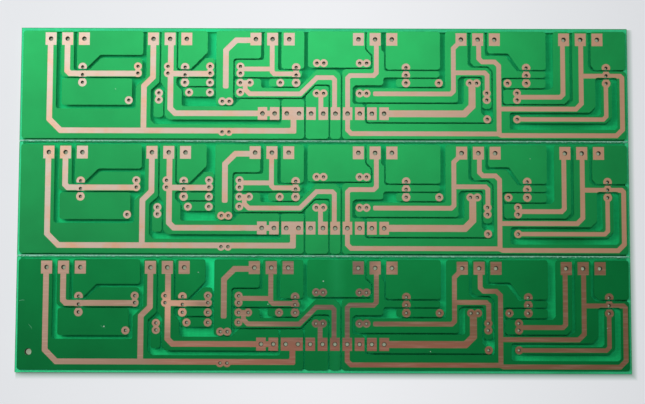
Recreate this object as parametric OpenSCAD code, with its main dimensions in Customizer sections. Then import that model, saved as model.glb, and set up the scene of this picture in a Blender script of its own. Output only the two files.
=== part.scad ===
// Panel of three identical single-sided power amplifier boards for a loudspeaker.
// The boards hang together at two score lines. Each carries the same etched copper
// under a green solder mask, with bare tracks and pads where solder will be added.
//
// Panel frame: X along the boards, Y across them, Z up out of the copper side, and
// the origin at the middle of the underside. Board frame, used by every outline
// below: x from the left end, y from the edge that carries the power device leads.

/* [Panel] */
// Length of every board, along X
board_length = 198; // [197.5:0.5:230]
// Width of one board, from score line to score line
board_width = 37.4; // [37:0.1:42]
// Number of boards in the panel
board_count = 3; // [3:1:5]
// Thickness of the bare laminate
laminate_thickness = 1.6; // [0.8:0.1:3.2]

/* [Score lines] */
// Depth of the groove on each face
score_depth = 0.55; // [0.3:0.05:0.7]
// Included angle of the scoring cutter
score_angle = 60; // [30:5:90]

/* [Copper and mask] */
// Thickness of the etched copper
copper_thickness = 0.07; // [0.035:0.005:0.14]
// Thickness of the solder mask film
mask_thickness = 0.03; // [0.02:0.005:0.06]
// Thickness of the mask where it runs down the side of the copper
mask_side = 0.05; // [0.03:0.01:0.1]
// How far the mask lies over the rim of the copper beside a bare track
mask_rim = 0.05; // [0.03:0.01:0.15]
// Gap etched between neighbouring conductors
clearance = 0.6; // [0.4:0.05:0.7]
// Radius of the corners of the copper
corner_radius = 0.8; // [0.3:0.1:1]
// Copper kept back from the two ends of the board
end_margin = 0.7; // [0.5:0.05:1]
// Copper kept back from the two long edges of the board
side_margin = 1; // [0.8:0.05:1.2]

/* [Power devices] */
// Distance from the left end to the first lead of the first device
device_start = 9.65; // [9.2:0.05:10]
// Distance from the last lead of the last device to the right end
device_end = 9.8; // [9.6:0.05:12]
// Distance between the three leads of a power device
lead_pitch = 5.45; // [5.3:0.01:5.6]
// Distance from the board edge to the lead holes
lead_inset = 3.6; // [3.4:0.05:4]
// Width of a power lead's pad
lead_pad_width = 3.6; // [3:0.1:3.8]
// Length of a power lead's pad
lead_pad_length = 4.2; // [3.5:0.1:4.6]
// Diameter of the hole for a power lead
lead_hole = 1.4; // [1.1:0.1:1.8]

/* [Connector row] */
// Distance between the contacts of the connector row
row_pitch = 3.96; // [3.9:0.01:4]
// Distance from the lower edge of the board to the row
row_inset = 9.25; // [9:0.05:9.5]
// Width of a row pad
row_pad_width = 3.1; // [2.6:0.1:3.2]
// Length of a row pad
row_pad_length = 4.2; // [3.4:0.1:4.2]
// Diameter of a row hole
row_hole = 1.4; // [1.1:0.1:1.8]

/* [Small parts] */
// Distance between the three leads of a driver transistor
driver_pitch = 2.54; // [2.5:0.01:2.6]
// Distance from the board edge to the middle lead of the drivers
driver_inset = 15.5; // [15.3:0.05:15.6]
// Distance between the two holes of a doubled pad
pair_pitch = 2.25; // [2.1:0.05:2.5]
// Diameter of a round pad
round_pad = 2.6; // [2:0.1:2.7]
// Diameter of a driver's pad
driver_pad = 2.8; // [2.4:0.1:2.9]
// Width of the mask opening that runs past all three leads of a driver
driver_window = 1.8; // [1.4:0.1:2.2]
// Diameter of the hole for a small lead
small_hole = 1; // [0.7:0.1:1.2]
// Diameter of the tooling hole in the last board
tooling_hole = 2.2; // [1.5:0.1:3]

/* [Bare tracks] */
// Width of the bare track on the left bus and on the first two devices
wide_track = 1.85; // [1.4:0.05:1.9]
// Width of the bare track on the other conductors
fine_track = 1.55; // [1.2:0.05:1.6]
// Width of the bare track from the last row contact
heavy_track = 2.25; // [1.8:0.05:2.4]
// Distance from the lower edge of the board to the left bus track
bus_inset = 3.55; // [3.4:0.05:3.8]

/* [Hidden] */

device_count = 6;          // power devices along one board, each with its driver
laminate_color = "palegoldenrod";
mask_color = "seagreen";
copper_color = "darksalmon";
steps = 2;                 // flats that stand for the round of one corner
over = 0.01;               // how far a cutter runs past the face it cuts
panel_width = board_count * board_width;
score_half_width = score_depth * tan(score_angle / 2);

// ---- Places that several outlines share ----

// The lines below run down the middle of an etched gap, or along an etched edge
// half a gap outside the copper, so every outline is drawn in by half a gap.
half_gap = clearance / 2;
left_line = end_margin - half_gap;
right_line = board_length - left_line;
top_line = side_margin - half_gap;
bottom_line = board_width - top_line;

// Lead n of power device d, and the middle between leads n and n + 1
device_pitch = (board_length - device_start - device_end - 2 * lead_pitch)
    / (device_count - 1);
function lead(d, n) = device_start + (d - 1) * device_pitch + (n - 1) * lead_pitch;
function between(d, n) = lead(d, n) + lead_pitch / 2;

// Contact n of the connector row, and the middle between contacts n and n + 1
row_start = lead(3, 1) + 2.3;
row_y = board_width - row_inset;
function row(n) = row_start + (n - 1) * row_pitch;
function row_gap(n) = row(n) + row_pitch / 2;
row_line = row_y + row_pad_length / 2 + 0.25;
row_top_line = row_y - 4.95;
output_line = row_y - 3.45;
box_floor = row_y - 3.05;
island_floor = row_y - 2.55;

// The driver transistors, one to each power device
driver_x = [
    lead(1, 3) - 0.4, lead(2, 3) - 0.45, lead(3, 3) + 2.3,
    lead(4, 3) + 4.6, lead(5, 3) + 10.3, lead(6, 3) + 2.8
];
driver_y = [for (n = [-1:1]) driver_inset + n * driver_pitch];
strip_top = driver_inset - 1.65;
strip_bottom = driver_inset + 0.95;
driver_line = driver_y[2] + 1.5;
base_pair_y = driver_inset - 1.7;
strip_track_y = driver_inset - 0.4;

// Bare tracks along the lower edge
bus_y = board_width - bus_inset;
left_low_y = board_width - 2.7;
right_low_y = board_width - 2.2;
low_line = board_width - 6.2;
bus_line = board_width - 5.9;
far_pad_y = board_width - 7.5;
sense_y = row_y - 6.65;

// Upright lines that two or more outlines share
split_12 = between(2, 1) - 0.35;
split_23 = between(2, 2) - 0.25;
block_line = lead(3, 1) - 13.15;
resistor_line = lead(3, 1) - 7.05;
column_line = lead(4, 1) + 4.35;
column_turn = lead_inset + 3.4;
output_left = lead(5, 1) + 0.6;
column_5 = lead(5, 2) + 4.6;
box_line = lead(5, 2) + 7.95;
right_column = board_length - 1.85;
last_column = driver_x[5] - 0.1;

// ---- Conductors ----
// Each is [outline, bare tracks, power leads, row contacts, round pads, driver pads].
// A track is [width, points], a lead [device, lead] and a driver pad [driver, lead].

function pair_across(x, y) = [[x - pair_pitch / 2, y], [x + pair_pitch / 2, y]];
function pair_down(x, y) = [[x, y - pair_pitch / 2], [x, y + pair_pitch / 2]];

left_bus = [
    [
        [left_line, top_line], [between(1, 1) - 0.5, top_line],
        [between(1, 1) - 0.5, row_y - 1.75], [lead(2, 1) - 5.75, row_y - 1.75],
        [lead(2, 1) - 5.75, driver_line - 0.35], [lead(2, 1) - 2.4, strip_bottom - 0.45],
        [lead(2, 1) - 2.4, top_line],
        [split_12, top_line], [split_12, driver_line - 1.45],
        [lead(2, 1) - 0.4, driver_line + 1.05], [lead(2, 1) - 0.4, bus_line - 1.3],
        [lead(2, 1) + 0.9, bus_line], [row_gap(2), bus_line],
        [row_gap(2), row_top_line], [row_gap(4), row_top_line], [row_gap(4), bottom_line],
        [left_line, bottom_line]
    ],
    [
        [wide_track, [
            [lead(1, 1) - 0.1, lead_inset], [lead(1, 1) - 0.1, bus_y - 3.7],
            [lead(1, 1) + 3.6, bus_y], [row(3) + 2.2, bus_y], [row(3) + 2.2, row_y]
        ]],
        [wide_track, [
            [lead(2, 1), lead_inset], [lead(2, 1), driver_inset + 0.8],
            [lead(2, 1) - 2.9, driver_line - 0.35], [lead(2, 1) - 2.9, bus_y]
        ]],
        [row_pad_length, [[row(3), row_y], [row(4), row_y]]]
    ],
    [[1, 1], [2, 1]], [3, 4], pair_across(lead(3, 1) - 9.7, bus_y + 0.4), []
];

power_1_lead_2 = [
    [
        [between(1, 1) + 0.45, top_line], [between(1, 2) - 0.35, top_line],
        [between(1, 2) - 0.35, strip_top], [lead(1, 3) + 1.5, strip_top],
        [lead(1, 3) + 5.6, strip_top - 4.1], [lead(2, 1) - 3.25, strip_top - 4.1],
        [lead(2, 1) - 3.25, strip_bottom], [between(1, 1) + 1.5, strip_bottom],
        [between(1, 1) + 0.45, strip_bottom - 1.05]
    ],
    [
        [wide_track, [
            [lead(1, 2), lead_inset], [lead(1, 2), driver_inset - 1.3],
            [lead(1, 2) + 0.9, strip_track_y], [lead(2, 1) - 4.95, strip_track_y]
        ]],
        [fine_track, pair_down(lead(2, 1) - 4.95, base_pair_y + 0.05)]
    ],
    [[1, 2]], [], pair_down(lead(2, 1) - 4.95, base_pair_y + 0.05), [[1, 2]]
];

power_1_lead_3 = [
    [
        [between(1, 2) + 0.2, top_line], [lead(2, 1) - 3, top_line],
        [lead(2, 1) - 3, strip_top - 4.65], [lead(1, 3) + 5.4, strip_top - 4.65],
        [lead(1, 3) + 0.75, strip_top], [between(1, 2) + 0.2, strip_top]
    ],
    [], [[1, 3]], [], [], [[1, 1]]
];

driver_1_lead_3 = [
    [
        [between(1, 1) + 0.85, strip_bottom], [lead(2, 1) - 6.5, strip_bottom],
        [lead(2, 1) - 6.5, row_y - 2.45], [between(1, 1) + 0.85, row_y - 2.45]
    ],
    [], [], [], [[lead(2, 1) - 7.8, row_y - 4.25]], [[1, 3]]
];

test_island = [
    [
        [lead(2, 1) + 0.1, row_y - 7.25], [lead(2, 1) + 1.2, row_y - 8.55],
        [lead(2, 1) + 2.7, row_y - 8.55],
        [split_12 + 1.35, row_y - 7.25], [split_12 + 1.35, row_line - 0.75],
        [lead(2, 1) + 0.1, row_line - 0.75]
    ],
    [[fine_track, pair_down(lead(2, 1) + 2, row_y - 5.55)]],
    [], [], pair_down(lead(2, 1) + 2, row_y - 5.55), []
];

power_2_lead_2 = [
    [
        [split_12, top_line], [split_23, top_line], [split_23, strip_top],
        [lead(2, 3) + 2, strip_top], [lead(2, 3) + 6.1, strip_top - 4.1],
        [block_line, strip_top - 4.1], [block_line, strip_bottom],
        [split_23, strip_bottom], [split_23, driver_line - 0.95],
        [split_23 + 1.8, driver_line + 1.05],
        [split_23 + 1.8, island_floor], [resistor_line - 0.35, island_floor],
        [resistor_line + 2.05, row_top_line], [row_gap(2), row_top_line], [row_gap(2), row_line],
        [split_12 + 2.75, row_line], [split_12 + 1.35, row_line - 1.4],
        [split_12 + 1.35, driver_line + 0.55], [split_12, driver_line - 1.45]
    ],
    [
        [wide_track, [
            [lead(2, 2) + 0.3, lead_inset], [lead(2, 2) + 0.3, row_y - 1.6],
            [lead(2, 2) + 1.9, row_y], [row(2), row_y]
        ]],
        [wide_track, [
            [lead(2, 2) + 0.3, strip_track_y], [lead(3, 1) - 14.9, strip_track_y]
        ]],
        [fine_track, pair_down(lead(3, 1) - 14.9, base_pair_y)]
    ],
    [[2, 2]], [1, 2],
    concat(pair_down(lead(2, 2) - 0.6, base_pair_y + 0.05), pair_down(lead(3, 1) - 14.9, base_pair_y)),
    [[2, 2]]
];

power_2_lead_3 = [
    [
        [split_23, top_line], [lead(3, 1) - 15.48, top_line],
        [lead(3, 1) - 15.48, strip_top - 5.7], [lead(2, 3) + 1.45, strip_top],
        [split_23, strip_top]
    ],
    [], [[2, 3]], [], [], [[2, 1]]
];

driver_2_lead_3 = [
    [
        [split_23 + 0.5, strip_bottom], [block_line, strip_bottom],
        [block_line, driver_line - 0.1], [split_23 + 0.5, driver_line - 0.1]
    ],
    [], [], [], [[lead(3, 1) - 14.9, driver_y[2]]], [[2, 3]]
];

resistor_link = [
    [
        [split_23 + 1.8, driver_line - 0.1], [block_line, driver_line - 0.1],
        [block_line, driver_line + 3.35], [split_23 + 1.8, driver_line + 3.35]
    ],
    [], [], [], [[lead(2, 3) + 0.95, driver_line + 1.75],
    [lead(3, 1) - 14.9, driver_line + 1.75]], []
];

power_3_lead_1 = [
    [
        [block_line, top_line], [between(3, 1) - 0.75, top_line],
        [between(3, 1) - 0.75, strip_top - 3.55], [resistor_line, strip_top - 3.55],
        [resistor_line, island_floor - 1],
        [resistor_line - 1, island_floor], [block_line, island_floor]
    ],
    [
        [wide_track, [
            [lead(3, 1), lead_inset + 0.4], [lead(3, 1) - 6.4, lead_inset + 0.4],
            [lead(3, 1) - 9.75, lead_inset + 3.75], [lead(3, 1) - 9.75, driver_line + 0.45]
        ]],
        [fine_track, pair_across(lead(3, 1) - 9.7, island_floor - 1.4)]
    ],
    [[3, 1]], [], pair_across(lead(3, 1) - 9.7, island_floor - 1.4), []
];

power_3_lead_2 = [
    [
        [between(3, 1) - 0.25, top_line], [between(3, 2) - 0.65, top_line],
        [between(3, 2) - 0.65, strip_top - 0.15], [lead(3, 3) + 4.5, strip_top - 0.15],
        [lead(3, 3) + 4.5, strip_bottom], [resistor_line, strip_bottom],
        [resistor_line, strip_top - 3.55], [between(3, 1) - 0.25, strip_top - 3.55]
    ],
    [
        [fine_track, [
            [lead(3, 2) - 0.1, lead_inset], [lead(3, 2) - 0.1, driver_inset - 1.1],
            [lead(3, 2) + 0.6, strip_track_y], [driver_x[2], strip_track_y]
        ]],
        [fine_track, [[lead(3, 2) - 0.1, driver_inset - 2], [lead(3, 1) - 5, driver_inset - 2]]],
        [fine_track, pair_down(lead(3, 1) - 5, base_pair_y)]
    ],
    [[3, 2]], [], pair_down(lead(3, 1) - 5, base_pair_y), [[3, 2]]
];

power_3_lead_3 = [
    [
        [between(3, 2) - 0.05, top_line], [lead(3, 3) + 5.2, top_line],
        [lead(3, 3) + 5.2, strip_top - 0.15], [between(3, 2) - 0.05, strip_top - 0.15]
    ],
    [], [[3, 3]], [], [], [[3, 1]]
];

driver_3_lead_3 = [
    [
        [lead(3, 1) + 4.1, strip_bottom], [lead(3, 3) + 4.1, strip_bottom],
        [lead(3, 3) + 4.1, driver_line - 1.25], [lead(3, 3) + 2.85, driver_line],
        [lead(3, 1) + 4.1, driver_line]
    ],
    [], [], [], [[lead(3, 3) - 2.85, driver_y[2]]], [[3, 3]]
];

row_feedback = [
    [
        [resistor_line, strip_bottom], [lead(3, 1) + 2.05, strip_bottom],
        [lead(3, 1) + 2.05, driver_line], [lead(3, 3) + 2.85, driver_line],
        [lead(3, 3) + 8.9, driver_line - 6.05], [row_gap(7) - 1.8, driver_line - 6.05],
        [row_gap(7), driver_line - 4.25], [row_gap(7), bottom_line],
        [row_gap(6), bottom_line], [row_gap(6), driver_line - 0.7],
        [row_gap(4) + 3.35, driver_line - 0.7], [row_gap(4) - 1, row_top_line],
        [resistor_line, row_top_line]
    ],
    [
        [fine_track, [[lead(3, 1) - 5, driver_y[2]], [lead(3, 1) - 1.9, driver_y[2]]]],
        [fine_track, [
            [lead(3, 1) - 3.4, driver_y[2]], [lead(3, 1) - 3.4, driver_line + 0.75],
            [lead(3, 1) - 1.95, row_y - 6.45], [lead(3, 3) + 3.7, row_y - 6.45],
            [lead(3, 3) + 9.1, driver_inset + 0.8], [row(7) - 1, driver_inset + 0.8],
            [row(7) - 0.3, driver_inset + 1.5], [row(7) - 0.3, row_y]
        ]]
    ],
    [], [7],
    [
        [lead(3, 1) - 5, driver_y[2]], [lead(3, 1) - 1.9, driver_y[2]],
        [lead(3, 1) - 5, row_y - 6.95]
    ],
    []
];

row_sense = [
    [
        [row_gap(4), row_top_line - 1], [row_gap(4) + 3.35, driver_line - 0.7],
        [row_gap(6), driver_line - 0.7],
        [row_gap(6), bottom_line], [row_gap(4), bottom_line]
    ],
    [
        [fine_track, [[row(6) - 0.8, sense_y], [row(6) - 0.8, row_y]]],
        [fine_track, pair_across(row(6) - 1.05, sense_y)]
    ],
    [], [5, 6], pair_across(row(6) - 1.05, sense_y), []
];

power_4_lead_1 = [
    [
        [lead(3, 3) + 5.9, top_line], [between(4, 1) - 0.3, top_line],
        [between(4, 1) - 0.3, column_turn], [column_line, column_turn + 1.95],
        [column_line, strip_top - 0.6],
        [lead(3, 3) + 5.9, strip_top - 0.6]
    ],
    [
        [fine_track, pair_across(lead(3, 3) + 10.2, strip_top - 2.35)],
        [fine_track, pair_across(lead(4, 1) + 1.55, strip_top - 2.35)]
    ],
    [[4, 1]], [],
    concat(
        pair_across(lead(3, 3) + 10.2, strip_top - 2.35),
        pair_across(lead(4, 1) + 1.55, strip_top - 2.35)
    ),
    []
];

power_4_lead_3 = [
    [
        [lead(4, 3) - 2.25, top_line], [lead(5, 1) - 6.63, top_line],
        [lead(5, 1) - 6.63, strip_top], [lead(4, 3) - 2.25, strip_top]
    ],
    [], [[4, 3]], [], [], [[4, 1]]
];

driver_4_lead_3 = [
    [
        [lead(4, 3) + 1.1, strip_bottom], [lead(5, 1) - 5.73, strip_bottom],
        [lead(5, 1) - 5.73, driver_line], [lead(4, 3) + 1.1, driver_line]
    ],
    [], [], [], [[lead(5, 1) - 7.33, driver_y[2]]], [[4, 3]]
];

power_5_lead_1 = [
    [
        [lead(5, 1) - 5.5, top_line], [between(5, 1) - 0.35, top_line],
        [between(5, 1) - 0.35, strip_top - 2.1], [between(5, 1) + 0.6, strip_top - 1.15],
        [column_5 - 1.45, strip_top - 1.15], [column_5, strip_top + 0.35], [column_5, row_y - 1.45],
        [column_5 - 3.45, row_y - 1.45], [column_5 - 3.45, strip_bottom - 0.35],
        [lead(5, 1), strip_bottom - 0.35],
        [lead(5, 1) - 0.85, strip_bottom + 0.5], [lead(5, 1) - 0.85, output_line],
        [row(8) + 2.35, output_line], [row(8) + 2.35, driver_line], [lead(5, 1) - 5.5, driver_line]
    ],
    [
        [fine_track, [
            [lead(5, 1) - 0.9, lead_inset + 1.3], [lead(5, 1) - 2.55, lead_inset + 2.95],
            [lead(5, 1) - 2.55, row_y - 7.45], [lead(5, 1) - 3.45, row_y - 6.55],
            [row(8) + 8.3, row_y - 6.55]
        ]],
        [fine_track, [
            [lead(5, 1) - 2.55, driver_inset - 0.9], [column_5 - 2.4, driver_inset - 0.9],
            [column_5 - 1.6, driver_inset - 0.1], [column_5 - 1.6, row_y - 4.55]
        ]],
        [fine_track, pair_across(row(8) + 5.05, sense_y)]
    ],
    [[5, 1]], [],
    concat(pair_across(row(8) + 5.05, sense_y), pair_down(column_5 - 1.75, sense_y + 0.95)), []
];

row_output = [
    [
        [output_left, strip_bottom - 0.35], [column_5 - 3.45, strip_bottom - 0.35],
        [column_5 - 3.45, far_pad_y - 2.4],
        [column_5 - 2.6, far_pad_y - 1.4], [column_5 - 1, far_pad_y - 1.4],
        [column_5 - 0.4, far_pad_y - 0.6], [column_5 - 0.4, low_line],
        [row_gap(9), low_line], [row_gap(9), output_line + 0.3], [row_gap(9) + 0.3, output_line],
        [output_left, output_line]
    ],
    [
        [heavy_track, [
            [row(11), row_y], [output_left + 0.35, row_y],
            [output_left + 2.9, row_y - 2.55], [output_left + 2.9, driver_y[2]]
        ]],
        [fine_track, pair_across(output_left + 3.3, driver_y[2])]
    ],
    [], [10, 11],
    concat(pair_across(output_left + 3.3, driver_y[2]), [[column_5 - 1.65, far_pad_y]]), []
];

power_5_lead_3 = [
    [
        [between(5, 2) + 0.1, top_line], [lead(6, 1) - 5.68, top_line],
        [lead(6, 1) - 5.68, strip_top], [lead(5, 3) + 8.05, strip_top],
        [lead(5, 3) + 4.3, strip_top - 5.4], [between(5, 2) + 0.1, strip_top - 5.4]
    ],
    [], [[5, 3]], [], [], [[5, 1]]
];

driver_5_lead_3 = [
    [
        [box_line, strip_bottom], [lead(6, 1) - 5.78, strip_bottom],
        [lead(6, 1) - 5.78, driver_line + 0.35], [box_line, driver_line + 0.35]
    ],
    [], [], [], [[lead(5, 3) + 4.2, driver_y[2]]], [[5, 3]]
];

power_6_lead_1 = [
    [
        [lead(6, 1) - 3.8, top_line], [between(6, 1) - 0.7, top_line],
        [between(6, 1) - 0.7, box_floor - 1.8], [between(6, 1) - 2.5, box_floor],
        [box_line, box_floor],
        [box_line, driver_line + 0.35], [lead(6, 1) - 4.7, driver_line + 0.35],
        [lead(6, 1) - 3.8, driver_line - 0.55]
    ],
    [
        [fine_track, [
            [lead(6, 1) - 0.4, lead_inset], [lead(6, 1) - 0.4, row_y - 6.45],
            [lead(6, 1) - 1.3, row_y - 5.55], [box_line + 5.1, row_y - 5.55]
        ]],
        [fine_track, pair_down(box_line + 4.75, row_y - 5.75)]
    ],
    [[6, 1]], [], pair_down(box_line + 4.75, row_y - 5.75), []
];

power_6_lead_3 = [
    [
        [between(6, 2) + 0.3, top_line], [right_line, top_line],
        [right_line, strip_top], [between(6, 2) + 1.8, strip_top],
        [between(6, 2) + 0.3, strip_top - 1.5]
    ],
    [], [[6, 3]], [], [], [[6, 1]]
];

// The conductor that the right bus surrounds, from the last driver to a far pad
driver_6_lead_3 = [
    [
        [last_column - 1.85, strip_bottom], [last_column + 2.1, strip_bottom],
        [last_column + 2.1, far_pad_y - 0.6], [last_column, far_pad_y + 1.5],
        [box_line + 3.05, far_pad_y + 1.5], [box_line + 3.05, far_pad_y - 1.4],
        [last_column - 2.6, far_pad_y - 1.4], [last_column - 1.85, far_pad_y - 2.1]
    ],
    [
        [fine_track - 0.15, [
            [last_column, driver_y[2]], [last_column, far_pad_y - 1],
            [last_column - 1, far_pad_y], [box_line + 4.75, far_pad_y]
        ]]
    ],
    [], [], [[box_line + 4.75, far_pad_y]], [[6, 3]]
];

// The window in the right bus that holds the conductor above
right_bus_window = [
    [last_column - 3.2, strip_bottom], [board_length - 3.65, strip_bottom],
    [board_length - 3.65, board_width - 5], [board_length - 4.35, board_width - 4.35],
    [box_line + 2.55, board_width - 4.35], [box_line + 2.55, far_pad_y - 2],
    [last_column - 5.3, far_pad_y - 2], [last_column - 3.2, far_pad_y - 4.1]
];

right_bus = [
    [
        [between(4, 1) - 0.3, top_line], [between(4, 2) - 0.5, top_line],
        [between(4, 2) - 0.5, column_turn - 0.1], [lead(4, 3) - 2.25, column_turn + 0.95],
        [lead(4, 3) - 2.25, strip_top], [lead(5, 1) - 6.83, strip_top],
        [lead(5, 1) - 6.83, strip_bottom], [lead(4, 3) - 2.55, strip_bottom],
        [lead(4, 3) - 2.55, driver_line - 1.2], [lead(4, 3) - 3.25, driver_line - 0.5],
        [row(8) + 2.6, driver_line - 0.5], [row(8) + 1.85, driver_line + 0.25],
        [row(8) + 1.85, output_line], [row_gap(9) - 1.2, output_line],
        [row_gap(9), output_line + 1.2],
        [row_gap(9), low_line], [column_5, low_line], [column_5, strip_top + 0.35],
        [column_5 - 1.45, strip_top - 1.15], [between(5, 1) + 1.4, strip_top - 1.15],
        [between(5, 1) + 0.15, strip_top - 2.4], [between(5, 1) + 0.15, top_line],
        [between(5, 2) - 0.2, top_line], [between(5, 2) - 0.2, strip_top - 5.05],
        [lead(5, 3) + 3.7, strip_top - 5.05], [lead(5, 3) + 7.4, strip_top],
        [lead(6, 1) - 5.78, strip_top], [lead(6, 1) - 5.78, strip_bottom],
        [box_line, strip_bottom], [box_line, box_floor], [between(6, 1) - 1.7, box_floor],
        [between(6, 1) - 0.25, box_floor - 1.45], [between(6, 1) - 0.25, top_line],
        [between(6, 2) - 0.1, top_line], [between(6, 2) - 0.1, strip_top - 1.3],
        [between(6, 2) + 1.2, strip_top], [right_line, strip_top],
        [right_line, bottom_line], [row_gap(7), bottom_line], [row_gap(7), strip_top + 0.35],
        [row_gap(7) + 0.95, strip_top - 0.6], [column_line, strip_top - 0.6],
        [column_line, column_turn + 1.95],
        [between(4, 1) - 0.3, column_turn]
    ],
    [
        [fine_track, [
            [lead(4, 2) + 0.4, lead_inset], [lead(4, 2) + 0.4, driver_inset - 0.8],
            [lead(4, 2) - 0.5, driver_inset + 0.1], [row(8) + 0.8, driver_inset + 0.1],
            [row(8), driver_inset + 0.9],
            [row(8), left_low_y - 1.2], [row(8) + 1.2, left_low_y],
            [column_5 + 1.9, left_low_y], [column_5 + 3, right_low_y],
            [right_column - 2, right_low_y], [right_column, right_low_y - 2],
            [right_column, driver_inset + 0.7], [right_column - 0.6, driver_inset + 0.1],
            [lead(6, 2), driver_inset + 0.1]
        ]],
        [fine_track, [
            [lead(5, 2) + 0.3, lead_inset], [lead(5, 2) + 0.3, lead_inset + 6.3],
            [lead(5, 2) + 1.4, lead_inset + 7.4], [column_5 + 0.9, lead_inset + 7.4],
            [column_5 + 2.2, lead_inset + 8.7], [column_5 + 2.2, left_low_y]
        ]],
        [fine_track, [
            [column_5 + 2.2, row_y - 1.65], [lead(6, 2) - 1.7, row_y - 1.65],
            [lead(6, 2) + 0.1, output_line], [lead(6, 2) + 0.1, lead_inset]
        ]]
    ],
    [[4, 2], [5, 2], [6, 2]], [8, 9], [], [[4, 2], [5, 2], [6, 2]]
];

conductors = [
    left_bus, right_bus, row_output, row_sense, row_feedback,
    power_1_lead_2, power_1_lead_3, power_2_lead_2, power_2_lead_3,
    power_3_lead_1, power_3_lead_2, power_3_lead_3, power_4_lead_1, power_4_lead_3,
    power_5_lead_1, power_5_lead_3, power_6_lead_1, power_6_lead_3,
    driver_1_lead_3, driver_2_lead_3, driver_3_lead_3,
    driver_4_lead_3, driver_5_lead_3, driver_6_lead_3, resistor_link, test_island
];

tooling_place = [4.2, board_width - 6.6];

// ---- Outlines ----

function unit(v) = v / norm(v);
function left_of(v) = [-v[1], v[0]];
function doubled_area(pts) = let (n = len(pts))
    sum([for (i = [0:n - 1]) cross(pts[i], pts[(i + 1) % n])]);
function sum(list, i = 0) = i < len(list) ? list[i] + sum(list, i + 1) : 0;

// Moves every side of a closed outline inwards by a distance, with square corners
function drawn_in(pts, distance) =
    let (n = len(pts), side = sign(doubled_area(pts)))
    [for (i = [0:n - 1])
        let (
            before = side * left_of(unit(pts[i] - pts[(i + n - 1) % n])),
            after = side * left_of(unit(pts[(i + 1) % n] - pts[i]))
        )
        pts[i] + distance * (before + after) / (1 + before * after)
    ];

// Rounds every corner of a closed outline, as far as its sides are long enough
function rounded(pts, radius) =
    let (n = len(pts))
    [for (i = [0:n - 1])
        let (
            back = pts[(i + n - 1) % n] - pts[i],
            ahead = pts[(i + 1) % n] - pts[i],
            half_corner = acos(unit(back) * unit(ahead)) / 2,
            reach = min(radius / tan(half_corner), 0.45 * min(norm(back), norm(ahead))),
            middle = pts[i] + unit(unit(back) + unit(ahead)) * reach / cos(half_corner),
            from = pts[i] + unit(back) * reach - middle,
            to = pts[i] + unit(ahead) * reach - middle,
            turn = 180 - 2 * half_corner
        )
        for (k = [0:steps])
            middle + (sin((steps - k) / steps * turn) * from + sin(k / steps * turn) * to)
                / sin(turn)
    ];

// The outline of a strip of even width along an open line of points
function strip(width, pts) =
    let (
        n = len(pts),
        sides = [for (i = [0:n - 1])
            let (
                before = left_of(unit(pts[max(i, 1)] - pts[max(i, 1) - 1])),
                after = left_of(unit(pts[min(i, n - 2) + 1] - pts[min(i, n - 2)]))
            )
            (before + after) / (1 + before * after) * width / 2
        ]
    )
    concat(
        [for (i = [0:n - 1]) pts[i] + sides[i]],
        [for (i = [n - 1:-1:0]) pts[i] - sides[i]]
    );

// ---- Flat shapes of one board ----

// The copper area of a conductor, drawn in from its edge by a rim, or out if negative
module pour(conductor, rim) {
    difference() {
        polygon(rounded(drawn_in(conductor[0], half_gap + rim), corner_radius));
        if (conductor == right_bus)
            polygon(rounded(drawn_in(right_bus_window, -half_gap - rim), corner_radius));
    }
}

module lead_pad(place) {
    translate([lead(place[0], place[1]), lead_inset])
        square([lead_pad_width, lead_pad_length], center = true);
}

module row_pad(n) {
    translate([row(n), row_y]) square([row_pad_width, row_pad_length], center = true);
}

// A driver's pad is round with a flat wherever its neighbour comes close
module driver_pad_shape(place) {
    limits = [
        [driver_y[0] - driver_pad, strip_top - half_gap],
        [strip_top + half_gap, strip_bottom - half_gap],
        [strip_bottom + half_gap, driver_y[2] + driver_pad]
    ][place[1] - 1];
    intersection() {
        translate([driver_x[place[0] - 1], driver_y[place[1] - 1]])
            circle(d = driver_pad, $fn = 32);
        translate([driver_x[place[0] - 1] - driver_pad, limits[0]])
            square([2 * driver_pad, limits[1] - limits[0]]);
    }
}

module pads(conductor) {
    for (place = conductor[2]) lead_pad(place);
    for (n = conductor[3]) row_pad(n);
    for (place = conductor[4]) translate(place) circle(d = round_pad, $fn = 32);
    for (place = conductor[5]) driver_pad_shape(place);
}

module holes(conductor) {
    for (p = conductor[2]) translate([lead(p[0], p[1]), lead_inset])
        circle(d = lead_hole, $fn = 24);
    for (n = conductor[3]) translate([row(n), row_y]) circle(d = row_hole, $fn = 24);
    for (p = conductor[4]) translate(p) circle(d = small_hole, $fn = 24);
    for (p = conductor[5]) translate([driver_x[p[0] - 1], driver_y[p[1] - 1]])
        circle(d = small_hole, $fn = 24);
}

// Bare metal: the tracks, kept inside the rim of their copper, and the pads
module bare(conductor) {
    if (len(conductor[1]) > 0)
        intersection() {
            union() for (track = conductor[1])
                polygon(rounded(strip(track[0], track[1]), track[0] / 4));
            pour(conductor, mask_rim);
        }
    pads(conductor);
}

// The face of one board that takes mask, from score line to score line
module mask_area(board) {
    first_edge = board == 1 ? 0 : score_half_width;
    last_edge = board == board_count ? 0 : score_half_width;
    translate([0, first_edge])
        square([board_length, board_width - first_edge - last_edge]);
}

// Everything the mask leaves open: bare metal, and the laminate between driver leads
module open_area(board) {
    for (c = conductors) bare(c);
    for (x = driver_x) translate([x, driver_inset])
        square([driver_window, 2 * driver_pitch], center = true);
    if (board == board_count) tooling_circle();
}

module tooling_circle() {
    translate(tooling_place) circle(d = tooling_hole, $fn = 32);
}

// ---- Solids ----

// Puts a shape of the board frame in its place in the panel
module on_board(board) {
    translate([-board_length / 2, panel_width / 2 - (board - 1) * board_width, 0])
        mirror([0, 1, 0]) children();
}

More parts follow.
